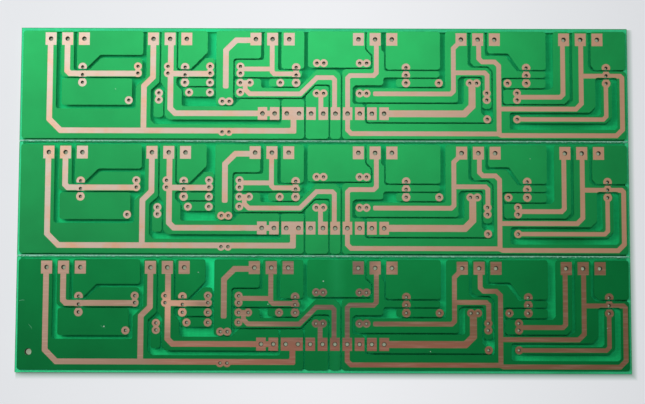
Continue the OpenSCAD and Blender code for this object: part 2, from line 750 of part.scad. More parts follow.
module copper(conductor) {
    color(copper_color)
        for (board = [1:board_count]) on_board(board)
            translate([0, 0, laminate_thickness]) linear_extrude(copper_thickness)
                difference() {
                    union() {
                        pour(conductor, 0);
                        pads(conductor);
                    }
                    holes(conductor);
                    if (board == board_count) tooling_circle();
                }
}

// The film lies on the laminate, climbs the side of the copper and covers it
module mask(board) {
    color(mask_color) on_board(board) translate([0, 0, laminate_thickness]) {
        linear_extrude(mask_thickness) difference() {
            mask_area(board);
            for (c = conductors) pour(c, 0);
            open_area(board);
        }
        translate([0, 0, mask_thickness])
            linear_extrude(copper_thickness - mask_thickness) difference() {
                for (c = conductors) pour(c, -mask_side);
                for (c = conductors) pour(c, 0);
                open_area(board);
            }
        translate([0, 0, copper_thickness]) linear_extrude(mask_thickness) difference() {
            for (c = conductors) pour(c, -mask_side);
            open_area(board);
        }
    }
}

module score_line() {
    rotate([90, 0, 90])
        linear_extrude(board_length + 2 * over, center = true)
            polygon([
                [-score_half_width, 0], [0, -score_depth], [score_half_width, 0],
                [score_half_width, over], [-score_half_width, over]
            ]);
}

module base_laminate() {
    color(laminate_color) difference() {
        linear_extrude(laminate_thickness) difference() {
            square([board_length, panel_width], center = true);
            for (board = [1:board_count]) on_board(board) {
                for (c = conductors) holes(c);
                if (board == board_count) tooling_circle();
            }
        }
        for (n = [1:1:board_count - 1]) translate([0, panel_width / 2 - n * board_width, 0]) {
            translate([0, 0, laminate_thickness]) score_line();
            mirror([0, 0, 1]) score_line();
        }
    }
}

module solder_mask_first_board() { mask(1); }
module solder_mask_middle_board() { for (board = [2:board_count - 1]) mask(board); }
module solder_mask_last_board() { mask(board_count); }

base_laminate();
solder_mask_first_board();
solder_mask_middle_board();
solder_mask_last_board();
copper(left_bus);  // copper_left_bus
copper(right_bus);  // copper_right_bus
copper(row_output);  // copper_row_output
copper(row_sense);  // copper_row_sense
copper(row_feedback);  // copper_row_feedback
copper(power_1_lead_2);  // copper_power_1_lead_2
copper(power_1_lead_3);  // copper_power_1_lead_3
copper(power_2_lead_2);  // copper_power_2_lead_2
copper(power_2_lead_3);  // copper_power_2_lead_3
copper(power_3_lead_1);  // copper_power_3_lead_1
copper(power_3_lead_2);  // copper_power_3_lead_2
copper(power_3_lead_3);  // copper_power_3_lead_3
copper(power_4_lead_1);  // copper_power_4_lead_1
copper(power_4_lead_3);  // copper_power_4_lead_3
copper(power_5_lead_1);  // copper_power_5_lead_1
copper(power_5_lead_3);  // copper_power_5_lead_3
copper(power_6_lead_1);  // copper_power_6_lead_1
copper(power_6_lead_3);  // copper_power_6_lead_3
copper(driver_1_lead_3);  // copper_driver_1_lead_3
copper(driver_2_lead_3);  // copper_driver_2_lead_3
copper(driver_3_lead_3);  // copper_driver_3_lead_3
copper(driver_4_lead_3);  // copper_driver_4_lead_3
copper(driver_5_lead_3);  // copper_driver_5_lead_3
copper(driver_6_lead_3);  // copper_driver_6_lead_3
copper(resistor_link);  // copper_resistor_link
copper(test_island);  // copper_test_island
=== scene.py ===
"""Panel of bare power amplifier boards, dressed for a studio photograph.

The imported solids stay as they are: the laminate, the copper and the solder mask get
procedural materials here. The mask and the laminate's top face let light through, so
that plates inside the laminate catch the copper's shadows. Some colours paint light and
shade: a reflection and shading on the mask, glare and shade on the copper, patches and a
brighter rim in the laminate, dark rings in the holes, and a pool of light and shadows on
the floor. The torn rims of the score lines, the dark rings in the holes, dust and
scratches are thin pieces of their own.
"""

import math
import random

import bmesh
import bpy
from mathutils import Euler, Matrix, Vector


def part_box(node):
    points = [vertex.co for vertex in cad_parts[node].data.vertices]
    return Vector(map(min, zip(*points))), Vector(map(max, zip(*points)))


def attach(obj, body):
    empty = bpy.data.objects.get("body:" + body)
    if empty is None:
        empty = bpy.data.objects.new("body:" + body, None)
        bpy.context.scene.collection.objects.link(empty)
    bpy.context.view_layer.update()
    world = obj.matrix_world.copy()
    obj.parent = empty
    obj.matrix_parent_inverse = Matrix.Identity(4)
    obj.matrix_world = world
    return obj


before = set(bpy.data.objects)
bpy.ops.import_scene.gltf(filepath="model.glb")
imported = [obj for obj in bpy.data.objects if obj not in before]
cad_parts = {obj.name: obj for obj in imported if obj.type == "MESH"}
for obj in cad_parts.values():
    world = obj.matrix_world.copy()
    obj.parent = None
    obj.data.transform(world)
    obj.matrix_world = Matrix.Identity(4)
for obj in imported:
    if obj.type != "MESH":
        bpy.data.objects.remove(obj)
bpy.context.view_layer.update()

MM = 0.001

# ---- Places taken from the frame ----
PANEL_LOW, PANEL_HIGH = (Vector(corner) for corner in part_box("base_laminate"))
MASK_LOW, MASK_HIGH = (Vector(corner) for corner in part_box("solder_mask_first_board"))
COPPER_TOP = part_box("copper_left_bus")[1][2]
LAMINATE_TOP = PANEL_HIGH.z
FILM_THICKNESS = MASK_HIGH.z - COPPER_TOP
FILM_TOP = LAMINATE_TOP + FILM_THICKNESS
BOARD_COUNT = 3
BOARD_WIDTH = (PANEL_HIGH.y - PANEL_LOW.y) / BOARD_COUNT
SCORE_LINES = [PANEL_HIGH.y - n * BOARD_WIDTH for n in range(1, BOARD_COUNT)]
LAST_BOARD_TOP = SCORE_LINES[-1]
SCORE_HALF_WIDTH = MASK_LOW.y - SCORE_LINES[0]

# ---- Limits that tell one face from another: its normal's height, its place ----
LEVEL = 0.9
UPRIGHT = 0.1
OUTLINE_MARGIN = 0.5 * MM
MERGE_DISTANCE = 0.001 * MM

# ---- Colours, as linear red, green and blue ----
# The mask's greens are painted darker at the left and on the last board and lighter to the right: painted
# shade and painted light
MASK_GREEN_LEFT = (0.005, 0.236, 0.057)
MASK_GREEN_RIGHT = (0.004, 0.305, 0.07)
MASK_GREEN_LAST_LEFT = (0.002, 0.205, 0.048)
MASK_GREEN_LAST_RIGHT = (0.001, 0.245, 0.055)
MASK_PAINTED_REFLECTION_GREEN = (0.01, 0.31, 0.09)
FILM_TINT = (0.8, 0.99, 0.9)
CORE_GREEN = (0.02, 0.7, 0.26)
CORE_GREEN_SHADE = (0.016, 0.63, 0.23)
# Painted shade and painted light for patches of the laminate's inside
CORE_PAINTED_SHADE = (0.01, 0.3, 0.08)
CORE_PAINTED_LIGHT = (0.03, 0.98, 0.42)
# The rim's greens are brighter than the core's: painted light for the light that enters through the cut
# edges
RIM_GREEN = (0.085, 0.75, 0.39)
RIM_GREEN_SHADE = (0.07, 0.67, 0.345)
CORE_PALE = (0.62, 0.82, 0.56)
CORE_SHADE = (0.52, 0.74, 0.47)
EDGE_MINT = (0.2, 0.55, 0.36)
# Paler to the left on the first two boards: a painted highlight
COPPER_PALE = (0.5, 0.395, 0.32)
COPPER_BRIGHT = (0.6, 0.32, 0.175)
COPPER_WARM = (0.58, 0.31, 0.17)
# The last board's copper, darker to the right, darkest in the middle and redder at its lower edge: painted
# shade
COPPER_SHADED_LEFT = (0.43, 0.27, 0.19)
COPPER_SHADED_RIGHT = (0.275, 0.12, 0.043)
COPPER_DARK = (0.2, 0.095, 0.05)
COPPER_STREAK = (0.75, 0.55, 0.42)
COPPER_RUBBED = (0.7, 0.37, 0.235)
COPPER_REDDENED = (0.46, 0.115, 0.055)
COPPER_DUSKY = (0.14, 0.07, 0.03)
FIBRE_PALE = (0.14, 0.48, 0.31)
FIBRE_WHITE = (0.33, 0.68, 0.52)
GROOVE_GREEN = (0.05, 0.56, 0.25)
# Hole walls and the rings low in the holes are painted dark: painted shade
BARREL_PAINTED_SHADE = (0.08, 0.09, 0.05)
# The burr's dark brown is also painted shade at the hole's edge
BURR_AND_SHADE_BROWN = (0.2, 0.14, 0.085)
DUST_WHITE = (0.75, 0.86, 0.78)
DUST_GREY = (0.6, 0.7, 0.62)
SCRATCH_GREEN = (0.12, 0.45, 0.25)
FLOOR_COLOUR = (0.78, 0.79, 0.81)
# A painted pool of light: the table's bright middle and its duller sides
FLOOR_MIDDLE = (0.945, 0.951, 0.978)
FLOOR_SIDES = (0.77, 0.786, 0.812)
# Under the panel, and right of it and below it, the floor is painted shade and painted shadow, tinted green
FLOOR_PAINTED_SHADE_UNDER_PANEL = (0.5, 0.55, 0.38)
FLOOR_PAINTED_SHADOW_GREEN = (0.36, 0.52, 0.44)
WORLD_COLOUR = (0.97, 0.98, 1.0)
BLACK = (0, 0, 0)
WHITE = (1, 1, 1)


def board_point(x, y, board):
    """A point of the panel, from millimetres right of a board's left end and below its upper edge."""
    return Vector((PANEL_LOW.x + x * MM, PANEL_HIGH.y - (board - 1) * BOARD_WIDTH - y * MM, 0))


def darker(colour, share):
    return [part * share for part in colour]


# ---- Materials ----
# Each contrast is the range of a noise that runs from one colour to the other
THREAD_WIDTH = 0.5 * MM
THREAD_STRETCH = 0.12
WEAVE_CONTRAST = (0.38, 0.62)
# The share of a patch's radius within which it is at full strength
PATCH_FLAT_SHARE = 0.35


class Nodes:
    """Builds one material's node tree with short calls."""

    def __init__(self, name):
        self.material = bpy.data.materials.new(name)
        self.material.use_nodes = True
        self.tree = self.material.node_tree
        self.tree.nodes.clear()
        self.place = self.add("ShaderNodeNewGeometry").outputs["Position"]

    def add(self, kind, inputs=None, **settings):
        node = self.tree.nodes.new(kind)
        for name, value in settings.items():
            setattr(node, name, value)
        for name, value in (inputs or {}).items():
            self.put(node.inputs[name], value)
        return node

    def put(self, socket, value):
        if isinstance(value, bpy.types.NodeSocket):
            self.tree.links.new(value, socket)
        elif hasattr(socket.default_value, "__len__") and len(value) < len(socket.default_value):
            socket.default_value = (*value, 1)
        else:
            socket.default_value = value

    def maths(self, operation, a, b=0.0, c=0.0):
        return self.add("ShaderNodeMath", {0: a, 1: b, 2: c}, operation=operation).outputs[0]

    def axes(self):
        """The x, y and z of the surface's place."""
        return self.add("ShaderNodeSeparateXYZ", {"Vector": self.place}).outputs

    def scaled(self, scale):
        """The surface's place, scaled along each axis."""
        return self.add("ShaderNodeMapping", {"Vector": self.place, "Scale": scale}).outputs["Vector"]

    def noise(self, size, detail=2.0, roughness=0.5, stretch=(1, 1, 1)):
        """Smooth noise from 0 to 1 whose blotches are about one size across."""
        place = self.scaled([s / size for s in stretch])
        return self.add(
            "ShaderNodeTexNoise",
            {"Vector": place, "Scale": 1.0, "Detail": detail, "Roughness": roughness},
        ).outputs["Fac"]

    def weave(self):
        """Noise drawn out along x and along y, like the threads of a glass cloth."""
        warp = self.noise(THREAD_WIDTH, 1, stretch=(1, THREAD_STRETCH, 1))
        weft = self.noise(THREAD_WIDTH, 1, stretch=(THREAD_STRETCH, 1, 1))
        return self.maths("MULTIPLY", self.maths("ADD", warp, weft), 0.5)

    def between(self, value, start, end):
        """0 where a value is at the start or before it, 1 at the end or past it, and a ramp between."""
        node = self.add("ShaderNodeMapRange", {"Value": value, "From Min": start, "From Max": end})
        return node.outputs["Result"]

    def blend(self, amount, first, second):
        node = self.add("ShaderNodeMix", data_type="RGBA")
        colours = [s for s in node.inputs if s.type == "RGBA"]
        self.put(node.inputs["Factor"], amount)
        self.put(colours[0], first)
        self.put(colours[1], second)
        return next(s for s in node.outputs if s.type == "RGBA")

    def bump(self, height, distance):
        return self.add("ShaderNodeBump", {"Height": height, "Distance": distance}).outputs["Normal"]

    def patched(self, colour, patches):
        """A colour with soft round patches of other colours laid on it, one after the other."""
        for centre, radius, tone, strength in patches:
            far = self.add(
                "ShaderNodeVectorMath", {0: self.place, 1: centre}, operation="DISTANCE"
            ).outputs["Value"]
            near = self.between(far, radius, radius * PATCH_FLAT_SHARE)
            colour = self.blend(self.maths("MULTIPLY", near, strength), colour, tone)
        return colour

    def outside(self, margin):
        """1 where the surface lies more than the margin outside the panel's outline, 0 within it."""
        x, y, _ = self.axes()
        beside = self.maths("GREATER_THAN", self.maths("ABSOLUTE", x), PANEL_HIGH.x + margin)
        above = self.maths("GREATER_THAN", self.maths("ABSOLUTE", y), PANEL_HIGH.y + margin)
        return self.maths("MAXIMUM", beside, above)

    def finish(self, shader):
        self.add("ShaderNodeOutputMaterial", {"Surface": shader})
        return self.material


MASK_GLOSS = 0.25
MASK_GLOSS_LAST = 0.12
BLOTCH_SIZE = 9 * MM
BLOTCH_STRENGTH = 0.1
BLOTCH_CONTRAST = (0.35, 0.7)
PEEL_SIZE = 1.3 * MM
PEEL_DEPTH = 0.006 * MM
# How much of the film over bare laminate is as good as opaque
FILM_BODY = 0.06
# A painted reflection: a soft bright band that runs across the last board, where a window would be
# reflected
BAND_X = 4.2 * MM
BAND_HALF_WIDTH = 3.5 * MM
BAND_STRENGTH = 0.5


def mask_material():
    """Glossy green film: opaque where copper lies under it, clear green over the bare laminate."""
    n = Nodes("solder_mask_green")
    x, y, z = n.axes()
    over_copper = n.maths("GREATER_THAN", z, (FILM_TOP + COPPER_TOP) / 2)
    # Painted shade and light: the green is darker at the left and on the last board, lighter to the right
    along = n.between(x, PANEL_LOW.x, PANEL_HIGH.x)
    last_board = n.maths("LESS_THAN", y, LAST_BOARD_TOP)
    first = n.blend(along, MASK_GREEN_LEFT, MASK_GREEN_RIGHT)
    last = n.blend(along, MASK_GREEN_LAST_LEFT, MASK_GREEN_LAST_RIGHT)
    colour = n.blend(last_board, first, last)
    # A painted reflection: a bright band across the last board
    from_band = n.maths("ABSOLUTE", n.maths("SUBTRACT", x, BAND_X))
    band = n.maths("MULTIPLY", n.between(from_band, BAND_HALF_WIDTH, 0), last_board)
    colour = n.blend(n.maths("MULTIPLY", band, BAND_STRENGTH), colour, MASK_PAINTED_REFLECTION_GREEN)
    blotches = n.between(n.noise(BLOTCH_SIZE, 3), *BLOTCH_CONTRAST)
    colour = n.blend(n.maths("MULTIPLY", blotches, BLOTCH_STRENGTH), colour, BLACK)
    film = n.add(
        "ShaderNodeBsdfPrincipled",
        {
            "Base Color": colour,
            "Metallic": 0.97,
            "Roughness": 0.385,
            "Coat Weight": n.maths("MULTIPLY_ADD", last_board, MASK_GLOSS_LAST - MASK_GLOSS, MASK_GLOSS),
            "Coat Roughness": 0.35,
            "Normal": n.bump(n.noise(PEEL_SIZE, 3), PEEL_DEPTH),
        },
    ).outputs["BSDF"]
    outer_face = n.maths("GREATER_THAN", z, (LAMINATE_TOP + FILM_TOP) / 2)
    tint = n.blend(outer_face, WHITE, FILM_TINT)
    clear = n.add("ShaderNodeBsdfTransparent", {"Color": tint}).outputs["BSDF"]
    body = n.maths("MULTIPLY", outer_face, FILM_BODY)
    thin = n.add("ShaderNodeMixShader", {0: body, 1: clear, 2: film}).outputs[0]
    return n.finish(n.add("ShaderNodeMixShader", {0: over_copper, 1: thin, 2: film}).outputs[0])


WEAVE_DEPTH = 0.02 * MM
CUT_GRAIN = 0.6 * MM


def laminate_material():
    """Woven laminate: its top face is clear, its cut faces let light in but show as solid."""
    n = Nodes("laminate_core")
    normal = n.add("ShaderNodeNewGeometry").outputs["True Normal"]
    up = n.maths("ABSOLUTE", n.add("ShaderNodeSeparateXYZ", {"Vector": normal}).outputs["Z"])
    top_face = n.maths("GREATER_THAN", n.axes()["Z"], LAMINATE_TOP - FILM_THICKNESS / 2)
    level_face = n.maths("GREATER_THAN", up, LEVEL)
    upright_face = n.maths("LESS_THAN", up, UPRIGHT)
    hole_wall = n.maths("MULTIPLY", upright_face, n.maths("SUBTRACT", 1.0, n.outside(-OUTLINE_MARGIN)))
    weave = n.weave()
    woven = n.blend(n.between(weave, *WEAVE_CONTRAST), CORE_SHADE, CORE_PALE)
    sawn = n.blend(n.noise(CUT_GRAIN, 3), EDGE_MINT, CORE_SHADE)
    # Hole walls are painted dark brown: painted shade in the holes
    cut = n.blend(upright_face, GROOVE_GREEN, n.blend(hole_wall, sawn, BARREL_PAINTED_SHADE))
    core = n.add(
        "ShaderNodeBsdfPrincipled",
        {
            "Base Color": n.blend(level_face, cut, woven),
            "Roughness": 0.55,
            "Normal": n.bump(weave, WEAVE_DEPTH),
        },
    ).outputs["BSDF"]
    clear = n.add("ShaderNodeBsdfTransparent").outputs["BSDF"]
    cut_face = n.maths("SUBTRACT", 1.0, level_face)
    entering = n.maths("MULTIPLY", cut_face, n.add("ShaderNodeLightPath").outputs["Is Shadow Ray"])
    see_through = n.maths("MAXIMUM", top_face, entering)
    return n.finish(n.add("ShaderNodeMixShader", {0: see_through, 1: core, 2: clear}).outputs[0])


# Painted shade and painted light on the laminate's inside: the centre, the radius, the colour and how much
CORE_SHADE_AND_LIGHT_PATCHES = (
    (board_point(178.5, 32.2, 1), 12 * MM, CORE_PAINTED_SHADE, 0.5),
    (board_point(178.5, 32.2, 2), 12 * MM, CORE_PAINTED_SHADE, 0.7),
    (board_point(178.5, 32.2, 3), 12 * MM, CORE_PAINTED_SHADE, 0.35),
    (board_point(61, 6, 3), 10 * MM, CORE_PAINTED_LIGHT, 1.0),
    (board_point(61, 4, 1), 10 * MM, CORE_PAINTED_LIGHT, 0.6),
    (board_point(136, 7, 3), 10 * MM, CORE_PAINTED_LIGHT, 0.5),
)


def core_material(name, shade, light):
    """The laminate's inside as it shows through the clear mask: dull green with a faint weave, and patches
    of painted shade and painted light.
    """
    n = Nodes(name)
    woven = n.blend(n.between(n.weave(), *WEAVE_CONTRAST), shade, light)
    core = n.add(
        "ShaderNodeBsdfPrincipled",
        {
            "Base Color": n.patched(woven, CORE_SHADE_AND_LIGHT_PATCHES),
            "Roughness": 0.8,
            "Specular IOR Level": 0.1,
        },
    )
    return n.finish(core.outputs["BSDF"])


TARNISH_SIZE = 7 * MM
TARNISH_CONTRAST = (0.45, 0.72)
BRUSH_WIDTH = 0.25 * MM
BRUSH_STRETCH = 0.08
BRUSH_DEPTH = 0.004 * MM
BRUSH_ROUGHNESS = (0.5, 0.64)
STREAK_WIDTH = 0.5 * MM
STREAK_STRETCH = 0.06
STREAK_CONTRAST = (0.5, 0.75)
STREAK_STRENGTH = 0.08
STREAK_STRENGTH_LAST = 0.22
# On the last board, painted shade: where the darkening to the right is full, and how the painted dark
# middle fades out
SHADE_FULL_X = 20 * MM
DARK_X = 3 * MM
DARK_FROM, DARK_TO = 6 * MM, 24 * MM
# On the last board, painted shade: the strip painted redder, from the middle along x and from the board's
# edge along y
RED_FROM_X, RED_TO_X = 46 * MM, 58 * MM
RED_FROM_Y, RED_FULL_Y = 24 * MM, 29 * MM
RED_STRENGTH = 0.5
# Patches rubbed bright and one grown dusky: the centre, the radius, the colour and how much
COPPER_PATCHES = (
    (board_point(50.5, 16.7, 3), 9 * MM, COPPER_RUBBED, 0.8),
    (board_point(146, 9, 3), 9 * MM, COPPER_RUBBED, 0.45),
    (board_point(118.5, 3.5, 3), 6 * MM, COPPER_RUBBED, 0.45),
    (board_point(104, 20, 3), 9 * MM, COPPER_DUSKY, 0.6),
)


def copper_material():
    """Bare copper, finely brushed along the board: on two boards paler to the left, a painted highlight,
    and on the last painted darker and redder, painted shade.
    """
    n = Nodes("bare_copper")
    x, y, _ = n.axes()
    blotches = n.between(n.noise(TARNISH_SIZE, 3, 0.6), *TARNISH_CONTRAST)
    # Paler to the left on the first two boards: a painted highlight
    glare_painted = n.blend(n.between(x, PANEL_LOW.x, PANEL_HIGH.x), COPPER_PALE, COPPER_BRIGHT)
    first_boards = n.blend(blotches, glare_painted, COPPER_WARM)
    # The last board painted darker to the right, darker in the middle and redder at its lower edge: painted
    # shade
    dull = n.blend(n.between(x, PANEL_LOW.x, SHADE_FULL_X), COPPER_SHADED_LEFT, COPPER_SHADED_RIGHT)
    from_dark = n.maths("ABSOLUTE", n.maths("SUBTRACT", x, DARK_X))
    dull = n.blend(n.between(from_dark, DARK_FROM, DARK_TO), COPPER_DARK, dull)
    lower = n.between(y, LAST_BOARD_TOP - RED_FROM_Y, LAST_BOARD_TOP - RED_FULL_Y)
    strip = n.maths("MULTIPLY", lower, n.between(n.maths("ABSOLUTE", x), RED_TO_X, RED_FROM_X))
    dull = n.blend(n.maths("MULTIPLY", strip, RED_STRENGTH), dull, COPPER_REDDENED)
    last_board = n.maths("LESS_THAN", y, LAST_BOARD_TOP)
    colour = n.blend(last_board, first_boards, n.patched(dull, COPPER_PATCHES))
    streaks = n.between(n.noise(STREAK_WIDTH, 3, stretch=(STREAK_STRETCH, 1, 1)), *STREAK_CONTRAST)
    more = STREAK_STRENGTH_LAST - STREAK_STRENGTH
    strength = n.maths("MULTIPLY_ADD", last_board, more, STREAK_STRENGTH)
    colour = n.blend(n.maths("MULTIPLY", streaks, strength), colour, COPPER_STREAK)
    brushing = n.noise(BRUSH_WIDTH, 2, stretch=(BRUSH_STRETCH, 1, 1))
    smooth, rough = BRUSH_ROUGHNESS
    roughness = n.add("ShaderNodeMapRange", {"Value": brushing, "To Min": smooth, "To Max": rough})
    metal = n.add(
        "ShaderNodeBsdfPrincipled",
        {
            "Base Color": colour,
            "Metallic": 1.0,
            "Roughness": roughness.outputs["Result"],
            "Coat Weight": 1.0,
            "Coat Roughness": 0.33,
            "Coat IOR": 1.7,
            "Normal": n.bump(brushing, BRUSH_DEPTH),
        },
    )
    return n.finish(metal.outputs["BSDF"])


MATT_CONTRAST = (0.35, 0.65)


def matt_material(name, colour, other, grain):
    """Dull material that wanders between two colours, such as fibres or dust."""
    n = Nodes(name)
    shade = n.blend(n.between(n.noise(grain), *MATT_CONTRAST), colour, other)
    dull = n.add("ShaderNodeBsdfPrincipled", {"Base Color": shade, "Roughness": 0.8})
    return n.finish(dull.outputs["BSDF"])


TABLE_GRAIN = 40 * MM
TABLE_CONTRAST = (0.3, 0.7)
TABLE_SHADE = 0.985
# A painted pool of light, the table's bright middle: its half width along x, and how much longer it is
# along y
POOL_RADIUS = 105 * MM
POOL_LENGTHENING = 4
# How much of the floor, as the camera sees it, is even background: beside the panel and under it
EVEN_BESIDE = 0.8
EVEN_BELOW = 0.45
# How far right of the panel and below it the floor is painted a dull green: painted shadow, tinted as if by
# light that comes through the laminate
CAST_REACH = 2.2 * MM


def floor_material():
    """Pale table: the camera sees mostly an emitted background with a painted pool of light, painted shadow
    beside the panel and painted shade under it; light and shadow fall on the rest.
    """
    n = Nodes("pale_floor")
    x, y, _ = n.axes()
    grain = n.between(n.noise(TABLE_GRAIN), *TABLE_CONTRAST)
    table = n.blend(grain, FLOOR_COLOUR, darker(FLOOR_COLOUR, TABLE_SHADE))
    # A painted pool of light in the middle of the table
    place = n.scaled((1, 1 / POOL_LENGTHENING, 0))
    far = n.add("ShaderNodeVectorMath", {0: place}, operation="LENGTH").outputs["Value"]
    pool = n.blend(n.between(far, 0, POOL_RADIUS), FLOOR_MIDDLE, FLOOR_SIDES)
    left = n.maths("LESS_THAN", x, PANEL_LOW.x)
    above = n.maths("GREATER_THAN", y, PANEL_HIGH.y)
    right = n.between(x, PANEL_HIGH.x, PANEL_HIGH.x + CAST_REACH)
    below = n.between(y, PANEL_LOW.y, PANEL_LOW.y - CAST_REACH)
    clear = n.maths("MAXIMUM", n.maths("MAXIMUM", left, above), n.maths("MAXIMUM", right, below))
    beside = n.outside(0)
    # Painted shade under the panel and painted shadow beside its right and lower edges
    background = n.blend(beside, FLOOR_PAINTED_SHADE_UNDER_PANEL, n.blend(clear, FLOOR_PAINTED_SHADOW_GREEN, pool))
    even = n.add("ShaderNodeEmission", {"Color": background}).outputs["Emission"]
    lit_colour = n.blend(clear, FLOOR_PAINTED_SHADOW_GREEN, table)
    lit = n.add("ShaderNodeBsdfDiffuse", {"Color": lit_colour}).outputs["BSDF"]
    ray = n.add("ShaderNodeLightPath").outputs
    bounced = n.maths("MAXIMUM", ray["Is Glossy Ray"], ray["Is Transmission Ray"])
    seen = n.maths("MAXIMUM", ray["Is Camera Ray"], bounced)
    in_clear = n.maths("MULTIPLY", clear, beside)
    amount = n.maths("MULTIPLY_ADD", in_clear, EVEN_BESIDE - EVEN_BELOW, EVEN_BELOW)
    share = n.maths("MULTIPLY", seen, amount)
    return n.finish(n.add("ShaderNodeMixShader", {0: share, 1: lit, 2: even}).outputs[0])


def paint(piece, material):
    piece.data.materials.clear()
    piece.data.materials.append(material)


def dress_frame():
    """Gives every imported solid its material, by the first word of its name."""
    materials = {"solder": mask_material(), "base": laminate_material(), "copper": copper_material()}
    for name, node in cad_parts.items():
        paint(node, materials[name.split("_")[0]])


# ---- Added pieces ----
def add_piece(name, mesh, material):
    piece = bpy.data.objects.new(name, mesh)
    bpy.context.scene.collection.objects.link(piece)
    paint(piece, material)
    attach(piece, "root")


def laminate_mesh():
    """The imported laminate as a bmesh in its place."""
    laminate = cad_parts["base_laminate"]
    made = bmesh.new()
    made.from_mesh(laminate.data)
    made.transform(laminate.matrix_world)
    made.normal_update()
    return made


def join_corners(made):
    """Joins corners of a bmesh that lie in one place."""
    bmesh.ops.remove_doubles(made, verts=made.verts, dist=MERGE_DISTANCE)


def to_mesh(made, name):
    mesh = bpy.data.meshes.new(name)
    made.to_mesh(mesh)
    made.free()
    return mesh


def thin_plate(made, outline, low, high):
    """Adds a closed plate to a bmesh, its outline a list of (x, y) against the clock."""
    bottom = [made.verts.new((x, y, low)) for x, y in outline]
    top = [made.verts.new((x, y, high)) for x, y in outline]
    made.faces.new(top)
    made.faces.new(bottom[::-1])
    for i in range(len(outline)):
        j = (i + 1) % len(outline)
        made.faces.new((bottom[i], bottom[j], top[j], top[i]))


# ---- The inside of the laminate ----
CORE_DEPTH = 1.35 * MM
CORE_THICKNESS = 0.1 * MM
RIM_DEPTH = 0.25 * MM
RIM_WIDTH = 1.1 * MM


def make_laminate_inside():
    """A plate inside the laminate with the same holes, on which the copper's shadows fall."""
    made = laminate_mesh()
    others = [
        face for face in made.faces
        if face.normal.z < LEVEL or face.calc_center_median().z < LAMINATE_TOP - FILM_THICKNESS
    ]
    bmesh.ops.delete(made, geom=others, context="FACES")
    join_corners(made)
    bmesh.ops.translate(made, verts=made.verts, vec=(0, 0, -CORE_DEPTH - CORE_THICKNESS))
    raised = bmesh.ops.extrude_face_region(made, geom=made.faces[:])["geom"]
    top = [item for item in raised if isinstance(item, bmesh.types.BMVert)]
    bmesh.ops.translate(made, verts=top, vec=(0, 0, CORE_THICKNESS))
    bmesh.ops.recalc_face_normals(made, faces=made.faces[:])
    inside = core_material("laminate_inside", CORE_GREEN_SHADE, CORE_GREEN)
    add_piece("laminate_inside", to_mesh(made, "laminate_inside"), inside)


def make_laminate_rim():
    """The core's outer rim, high under the surface where the copper's shadows miss it, and brighter green
    than the core: painted light for the light that enters through the cut edges.
    """
    made = bmesh.new()
    high = LAMINATE_TOP - RIM_DEPTH
    low = high - CORE_THICKNESS
    in_x, in_y = PANEL_HIGH.x - CORE_THICKNESS, PANEL_HIGH.y - CORE_THICKNESS
    cut_x, cut_y = in_x - RIM_WIDTH, in_y - RIM_WIDTH
    for x0, y0, x1, y1 in (
        (-in_x, cut_y, in_x, in_y), (-in_x, -in_y, in_x, -cut_y),
        (-in_x, -cut_y, -cut_x, cut_y), (cut_x, -cut_y, in_x, cut_y),
    ):
        thin_plate(made, [(x0, y0), (x1, y0), (x1, y1), (x0, y1)], low, high)
    rim = core_material("laminate_rim", RIM_GREEN_SHADE, RIM_GREEN)
    add_piece("laminate_rim", to_mesh(made, "laminate_rim"), rim)


# ---- The score lines' torn rims ----
TEAR_PITCH = 0.55 * MM
TEAR_REACH = 0.6 * MM
TEAR_OVERLAP = 0.1 * MM
TEAR_LIFT = FILM_THICKNESS * 0.2
FIBRE_GRAIN = 0.8 * MM


def torn_edge(name, line, material, seed):
    """The pale, torn rim where the scoring cutter lifted the mask, above a score line."""
    rng = random.Random(seed)
    made = bmesh.new()
    inner = line + SCORE_HALF_WIDTH + TEAR_OVERLAP
    x = PANEL_LOW.x
    while x < PANEL_HIGH.x - TEAR_PITCH:
        width = min(TEAR_PITCH * rng.uniform(0.5, 1.3), PANEL_HIGH.x - x)
        reach = TEAR_REACH * rng.uniform(0.45, 1.0)
        clockwise = [
            (x, inner), (x + width, inner),
            (x + width * 0.95, inner - reach * rng.uniform(0.5, 1.0)),
            (x + width * rng.uniform(0.3, 0.6), inner - reach),
            (x + width * 0.05, inner - reach * rng.uniform(0.5, 1.0)),
        ]
        thin_plate(made, clockwise[::-1], LAMINATE_TOP + TEAR_LIFT, FILM_TOP + TEAR_LIFT)
        x += width
    add_piece(name, to_mesh(made, name), material)


def make_torn_edges():
    fibre = matt_material("torn_fibre", FIBRE_PALE, FIBRE_WHITE, FIBRE_GRAIN)
    for number, line in enumerate(SCORE_LINES, 1):
        torn_edge(f"score_{number}_torn_rim", line, fibre, number)


# ---- Dark rings in the holes, painted shade, and burrs round the lead holes ----
EXIT_SHADE_WIDTH = 0.15 * MM
EXIT_SHADE_HEIGHT = 0.1 * MM
BURR_WIDTH = 0.06 * MM
BURR_HEIGHT = 0.012 * MM
RING_SIDES = 20
RING_GRAIN = 0.8 * MM
RING_SHADE = 0.6
# Holes under this radius take leads and have copper round them; the tooling hole is larger
LEAD_HOLE_RADIUS = 1 * MM


def on_outline(face):
    """Whether a face is part of the panel's outer edge."""
    middle = face.calc_center_median()
    beside = abs(middle.x) > PANEL_HIGH.x - OUTLINE_MARGIN
    return beside or abs(middle.y) > PANEL_HIGH.y - OUTLINE_MARGIN


